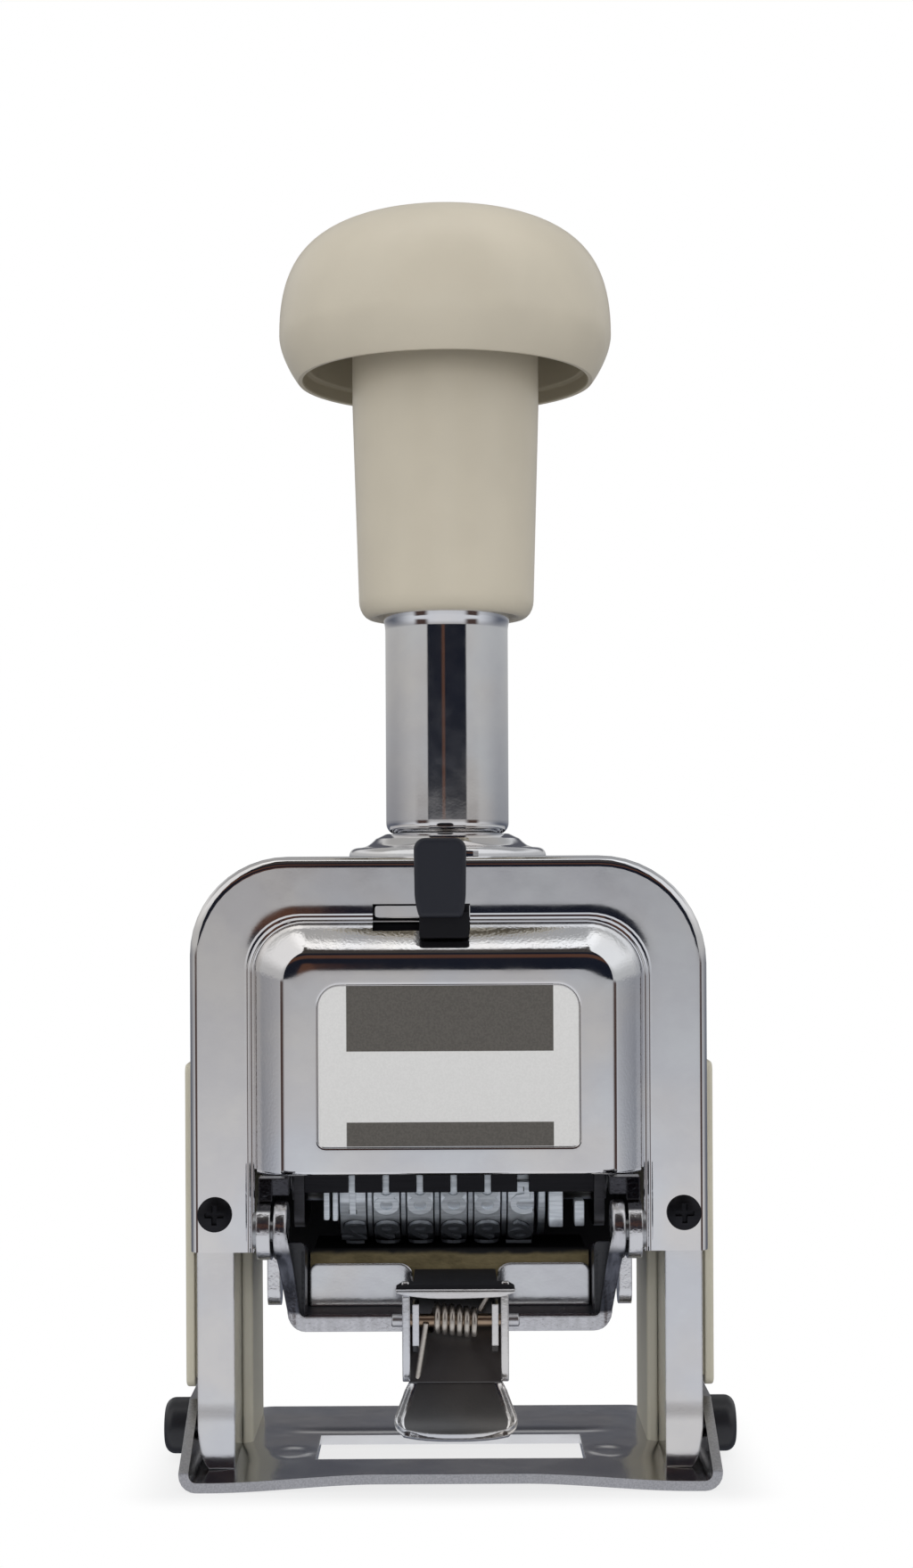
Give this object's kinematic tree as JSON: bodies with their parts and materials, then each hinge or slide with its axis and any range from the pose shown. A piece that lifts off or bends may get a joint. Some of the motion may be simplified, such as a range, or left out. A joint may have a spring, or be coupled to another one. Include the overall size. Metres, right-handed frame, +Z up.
{
  "type": "numbering machine",
  "caption": "Hand numbering machine: a knob drives type wheels down through a framed base while a spring-latched ink pad swings out of the way.",
  "frame": {"origin": "middle of the machine's width and depth, on the surface it stands on", "axes": "+Z up along the plunger, -Y towards the user and the ink arm, +X to the user's right"},
  "size_m": [0.0674, 0.0496, 0.146],
  "materials": {
    "chrome_shell": "bright chrome plate",
    "chrome_steel": "chrome-plated pressed steel",
    "plain_steel": "plain steel",
    "dark_steel": "darkened steel",
    "type_steel": "fine machined type metal",
    "brass": "plain brass",
    "beige_plastic": "smooth moulded beige",
    "black_plastic": "smooth black",
    "black_metal": "blackened",
    "felt": "ink-stained felt",
    "label": "printed off-white plate"
  },
  "bodies": {
    "frame": {"base_plate": "chrome_steel", "left_leg": "chrome_steel", "right_leg": "chrome_steel", "left_guide_rail": "beige_plastic", "right_guide_rail": "beige_plastic", "left_side_strip": "beige_plastic", "right_side_strip": "beige_plastic", "base_pins": "plain_steel", "left_cap": "black_plastic", "right_cap": "black_plastic", "casing": "chrome_shell", "back_cover": "chrome_shell", "label_plate": "label", "casing_screws": "black_metal", "cover_screws": "black_metal", "top_bridge": "plain_steel", "rod_bush": "brass", "guide_tube": "chrome_shell", "collar": "chrome_shell", "return_spring": "plain_steel", "left_bracket": "chrome_steel", "right_bracket": "chrome_steel", "pivot_pins": "plain_steel", "mask_bar": "dark_steel"},
    "handle": {"plunger_rod": "plain_steel", "spring_seat": "plain_steel", "rod_nut": "plain_steel", "handle_sleeve": "beige_plastic", "knob": "beige_plastic", "carriage_yoke": "plain_steel", "left_cheek": "plain_steel", "right_cheek": "plain_steel", "wheel_axle": "plain_steel", "axle_clips": "dark_steel", "axle_sleeves": "plain_steel", "wheel_spacers": "plain_steel", "detent_bar": "plain_steel", "detent_springs": "plain_steel"},
    "pawl": {"pawl_frame": "plain_steel", "pawl_comb": "plain_steel"},
    "ink_arm": {"ink_arm": "chrome_steel", "pad_tray": "chrome_steel", "ink_pad": "felt", "latch_bracket": "chrome_steel", "latch_pin": "brass", "latch_spring": "plain_steel"},
    "latch": {"latch": "chrome_steel"},
    "selector": {"selector_lever": "black_plastic", "selector_plate": "dark_steel"},
    "wheel_1": {"type_wheel_1": "type_steel"},
    "wheel_2": {"type_wheel_2": "type_steel"},
    "wheel_3": {"type_wheel_3": "type_steel"},
    "wheel_4": {"type_wheel_4": "type_steel"},
    "wheel_5": {"type_wheel_5": "type_steel"},
    "wheel_6": {"type_wheel_6": "type_steel"}
  },
  "joints": [
    {"name": "handle_press", "type": "slide", "parent": "frame", "child": "handle", "axis": [0, 0, -1], "range_m": [0, 0.0259], "stiffness_N_per_m": 280, "springref_m": -0.02, "deforming": ["return_spring"]},
    {"name": "ink_arm_swing", "type": "hinge", "parent": "frame", "child": "ink_arm", "pos_m": [0, -0.01473, 0.0294], "axis": [-1, 0, 0], "range_deg": [0, 120]},
    {"name": "pawl_swing", "type": "hinge", "parent": "handle", "child": "pawl", "pos_m": [0, -0.00032, 0.0339], "axis": [1, 0, 0], "range_deg": [0, 38]},
    {"name": "latch_press", "type": "hinge", "parent": "ink_arm", "child": "latch", "pos_m": [0.0006, -0.01953, 0.0204], "axis": [1, 0, 0], "range_deg": [0, 20], "stiffness_Nm_per_rad": 0.02, "springref_deg": -20.05},
    {"name": "selector_slide", "type": "slide", "parent": "frame", "child": "selector", "axis": [-1, 0, 0], "range_m": [0, 0.0048]},
    {"name": "wheel_1_spin", "type": "hinge", "parent": "handle", "child": "wheel_1", "pos_m": [-0.0109, -0.00032, 0.0339], "axis": [1, 0, 0], "continuous": true},
    {"name": "wheel_2_spin", "type": "hinge", "parent": "handle", "child": "wheel_2", "pos_m": [-0.0071, -0.00032, 0.0339], "axis": [1, 0, 0], "continuous": true},
    {"name": "wheel_3_spin", "type": "hinge", "parent": "handle", "child": "wheel_3", "pos_m": [-0.0033, -0.00032, 0.0339], "axis": [1, 0, 0], "continuous": true},
    {"name": "wheel_4_spin", "type": "hinge", "parent": "handle", "child": "wheel_4", "pos_m": [0.0005, -0.00032, 0.0339], "axis": [1, 0, 0], "continuous": true},
    {"name": "wheel_5_spin", "type": "hinge", "parent": "handle", "child": "wheel_5", "pos_m": [0.0043, -0.00032, 0.0339], "axis": [1, 0, 0], "continuous": true},
    {"name": "wheel_6_spin", "type": "hinge", "parent": "handle", "child": "wheel_6", "pos_m": [0.0081, -0.00032, 0.0339], "axis": [1, 0, 0], "continuous": true}
  ],
  "couplings": [
    {"joint": "ink_arm_swing", "follows": "handle_press", "rad_per_m": 80},
    {"joint": "pawl_swing", "follows": "handle_press", "rad_per_m": 25}
  ]
}
